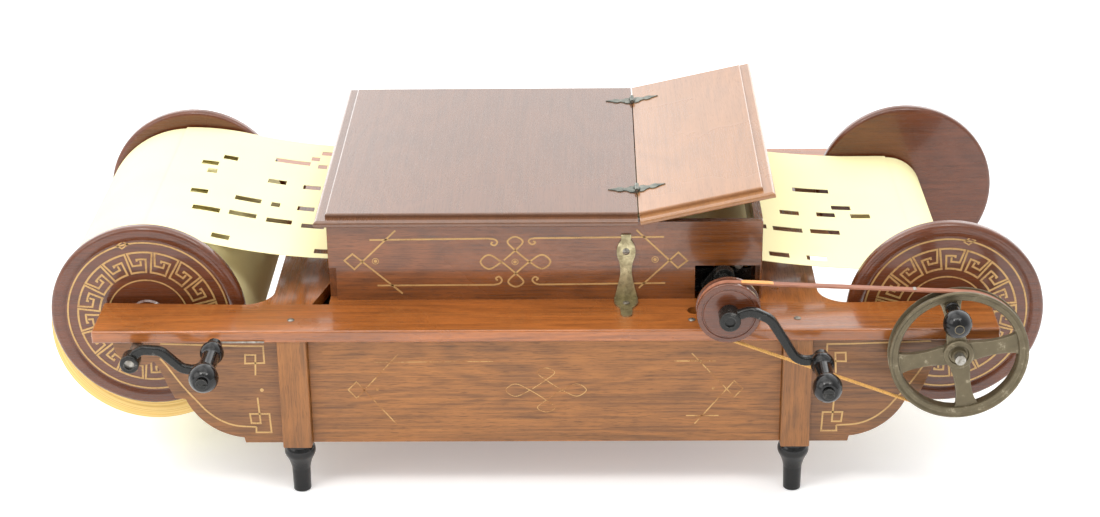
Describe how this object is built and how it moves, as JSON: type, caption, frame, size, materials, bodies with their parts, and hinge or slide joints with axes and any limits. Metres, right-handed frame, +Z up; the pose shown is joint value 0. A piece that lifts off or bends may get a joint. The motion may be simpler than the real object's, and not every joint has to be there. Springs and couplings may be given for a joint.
{
  "type": "hand crank paper roll organ",
  "caption": "Table-top reed organ box on turned feet, with a hinged lid flap, a perforated paper roll between two flanged spools, and a hand crank that drives a belt wheel.",
  "frame": {"origin": "centre of the whole object's bounding box, at the bottom of the feet", "axes": "+X along the paper's travel, from the supply spool to the take-up spool; +Y from the player's side to the back; +Z up"},
  "size_m": [1.1802, 0.6874, 0.361],
  "materials": {
    "shelf_wood": "satin varnished walnut, orange-brown",
    "case_wood": "satin varnished walnut",
    "box_wood": "glossy varnished walnut, dark red-brown",
    "lid_wood": "glossy varnished walnut",
    "disc_wood": "polished dark walnut",
    "core_wood": "plain beech",
    "ebonised_wood": "glossy black",
    "japanned_iron": "worn black japan",
    "wheel_iron": "worn bronzed paint over iron",
    "steel": "aged steel",
    "brass": "aged brass",
    "hinge_metal": "verdigris-grey plated brass",
    "paper": "cream perforated paper",
    "belt_leather": "worn red-brown leather",
    "belt_cord": "twisted golden cord",
    "bellows_cloth": "black rubber cloth and felt"
  },
  "bodies": {
    "case": {"front_rail": "shelf_wood", "rear_rail": "shelf_wood", "left_cross_board": "shelf_wood", "right_cross_board": "shelf_wood", "bed_board": "shelf_wood", "front_panel": "case_wood", "back_panel": "case_wood", "left_end_panel": "case_wood", "right_end_panel": "case_wood", "bottom_board": "case_wood", "corner_posts": "case_wood", "front_left_bracket": "case_wood", "front_right_bracket": "case_wood", "rear_left_bracket": "case_wood", "rear_right_bracket": "case_wood", "box_front_wall": "box_wood", "box_back_wall": "box_wood", "box_left_wall": "box_wood", "box_right_wall": "box_wood", "fixed_lid": "lid_wood", "reed_pan": "core_wood", "turned_feet": "ebonised_wood", "crank_bearings": "japanned_iron", "crank_guard": "japanned_iron", "wood_screws": "steel", "crank_stay_wire": "steel", "hinge_pins": "steel", "paper_guide_rods": "steel", "box_clamp_plate": "brass", "tracker_bar": "brass", "brass_reeds": "brass", "hinge_lid_leaves": "hinge_metal", "paper_web": "paper", "belt_strap": "belt_leather", "belt_cord": "belt_cord", "reservoir_bellows": "bellows_cloth", "feeder_bellows": "bellows_cloth", "felt_apron": "bellows_cloth"},
    "flap": {"lid_flap": "lid_wood", "hinge_flap_leaves": "hinge_metal"},
    "takeup_spool": {"takeup_axle": "steel", "takeup_core": "core_wood", "takeup_front_flange": "disc_wood", "takeup_rear_flange": "disc_wood", "drive_wheel": "wheel_iron"},
    "takeup_roll": {"takeup_paper_roll": "paper"},
    "supply_spool": {"supply_axle": "steel", "supply_core": "core_wood", "supply_front_flange": "disc_wood", "supply_rear_flange": "disc_wood", "rewind_crank_arm": "japanned_iron"},
    "supply_roll": {"supply_paper_roll": "paper"},
    "crank": {"crankshaft": "japanned_iron", "drive_pulley": "disc_wood", "crank_arm": "japanned_iron"},
    "front_rod": {"front_pitman": "japanned_iron"},
    "rear_rod": {"rear_pitman": "japanned_iron"},
    "crank_grip": {"crank_handle": "ebonised_wood"},
    "rewind_grip": {"rewind_handle": "ebonised_wood"},
    "wheel_grip": {"wheel_knob": "ebonised_wood"}
  },
  "joints": [
    {"name": "flap_hinge", "type": "hinge", "parent": "case", "child": "flap", "pos_m": [0.11185, 0.0637, 0.3328], "axis": [0, -1, 0], "range_deg": [-12.5, 150]},
    {"name": "takeup_turn", "type": "hinge", "parent": "case", "child": "takeup_spool", "pos_m": [0.47415, 0.0637, 0.1975], "axis": [0, 1, 0], "continuous": true},
    {"name": "takeup_roll_turn", "type": "hinge", "parent": "case", "child": "takeup_roll", "pos_m": [0.44665, 0.0637, 0.1975], "axis": [0, 1, 0], "continuous": true},
    {"name": "supply_turn", "type": "hinge", "parent": "case", "child": "supply_spool", "pos_m": [-0.46785, 0.0637, 0.1975], "axis": [0, 1, 0], "continuous": true},
    {"name": "supply_roll_turn", "type": "hinge", "parent": "case", "child": "supply_roll", "pos_m": [-0.46955, 0.0637, 0.172], "axis": [0, 1, 0], "continuous": true},
    {"name": "crank_turn", "type": "hinge", "parent": "case", "child": "crank", "pos_m": [0.21225, 0.0637, 0.2525], "axis": [0, 1, 0], "continuous": true},
    {"name": "front_pitman_swing", "type": "hinge", "parent": "crank", "child": "front_rod", "pos_m": [0.22625, -0.1653, 0.22825], "axis": [0, 1, 0], "continuous": true},
    {"name": "rear_pitman_swing", "type": "hinge", "parent": "crank", "child": "rear_rod", "pos_m": [0.19579, -0.1173, 0.22985], "axis": [0, 1, 0], "continuous": true},
    {"name": "crank_handle_spin", "type": "hinge", "parent": "crank", "child": "crank_grip", "pos_m": [0.31665, -0.2963, 0.202], "axis": [0, 1, 0], "continuous": true},
    {"name": "rewind_handle_spin", "type": "hinge", "parent": "supply_spool", "child": "rewind_grip", "pos_m": [-0.37085, -0.2963, 0.2165], "axis": [0, 1, 0], "continuous": true},
    {"name": "wheel_knob_spin", "type": "hinge", "parent": "takeup_spool", "child": "wheel_grip", "pos_m": [0.46242, -0.2613, 0.25787], "axis": [0, 1, 0], "continuous": true}
  ],
  "couplings": [
    {"joint": "takeup_roll_turn", "follows": "takeup_turn", "ratio": 1},
    {"joint": "supply_turn", "follows": "takeup_turn", "ratio": 0.4063},
    {"joint": "supply_roll_turn", "follows": "takeup_turn", "ratio": 0.4063},
    {"joint": "crank_turn", "follows": "takeup_turn", "ratio": 2.2209},
    {"joint": "front_pitman_swing", "follows": "takeup_turn", "ratio": -2.2209},
    {"joint": "rear_pitman_swing", "follows": "takeup_turn", "ratio": -2.2209}
  ]
}
